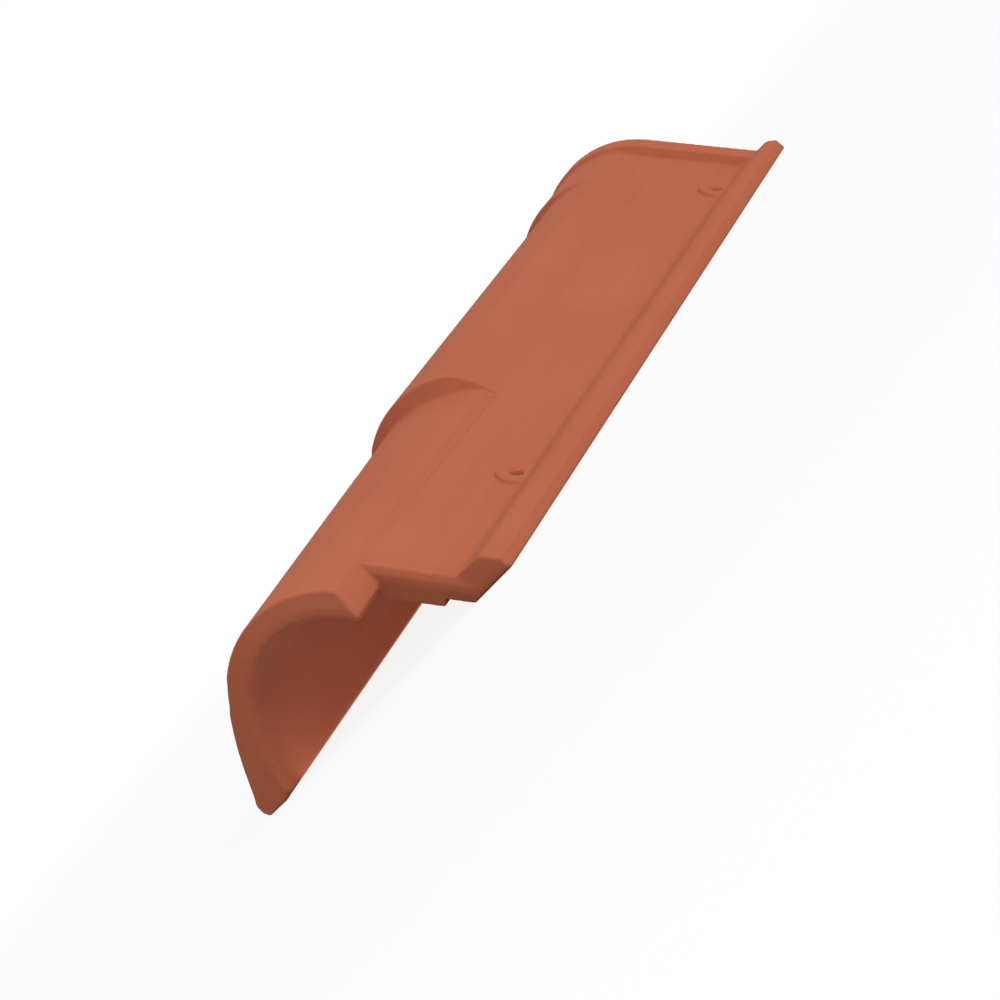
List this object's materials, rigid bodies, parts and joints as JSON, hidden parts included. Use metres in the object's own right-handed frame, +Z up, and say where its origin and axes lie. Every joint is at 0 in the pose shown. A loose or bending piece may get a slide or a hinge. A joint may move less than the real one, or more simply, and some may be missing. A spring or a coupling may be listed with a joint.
{
  "type": "verge tile",
  "caption": "Terracotta verge tile: a flat pan with a raised side lip turns through a half-round barrel into a hanging leg that closes a roof's gable edge.",
  "frame": {"origin": "centre of the bounding box on the floor, under the tile as it lies unheld with its bend upwards", "axes": "+Y along the tile from the narrow spigot end to the rim at the far end, +X from the leg's foot towards the lip, +Z up"},
  "size_m": [0.1368, 0.4766, 0.0676],
  "materials": {
    "fired_clay": "matte"
  },
  "bodies": {
    "root": {"verge_tile": "fired_clay"}
  },
  "joints": []
}
